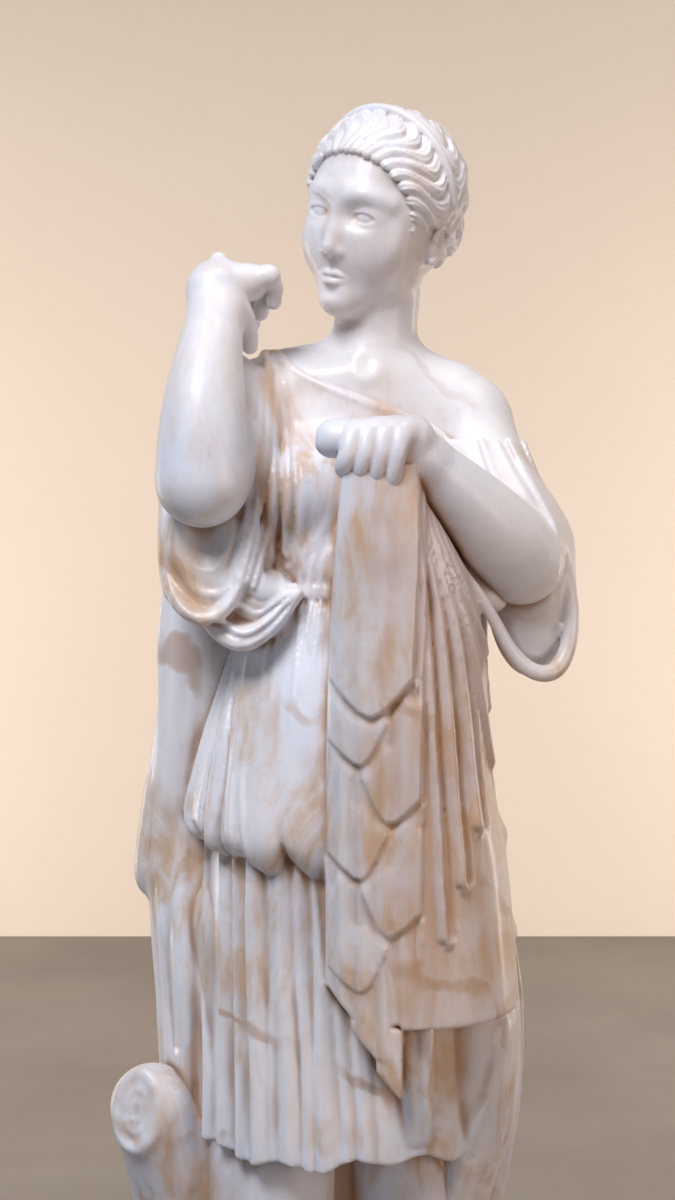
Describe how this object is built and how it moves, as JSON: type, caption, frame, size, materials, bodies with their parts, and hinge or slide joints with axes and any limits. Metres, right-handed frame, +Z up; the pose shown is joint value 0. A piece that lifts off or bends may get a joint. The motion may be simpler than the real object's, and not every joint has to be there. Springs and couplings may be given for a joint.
{
  "type": "classical marble statue",
  "caption": "Carved marble figure of a draped standing young woman, head turned, one hand at her shoulder and one gathering her cloak, on a low base with a tree stump.",
  "frame": {"origin": "centre of the base's underside", "axes": "+Z up, -Y towards the viewer she faces, +X towards her left hand"},
  "size_m": [0.3441, 0.2721, 1.1985],
  "materials": {
    "marble": "polished white marble with warm brown veins and stains"
  },
  "bodies": {
    "root": {"draped_figure_with_base": "marble"}
  },
  "joints": []
}
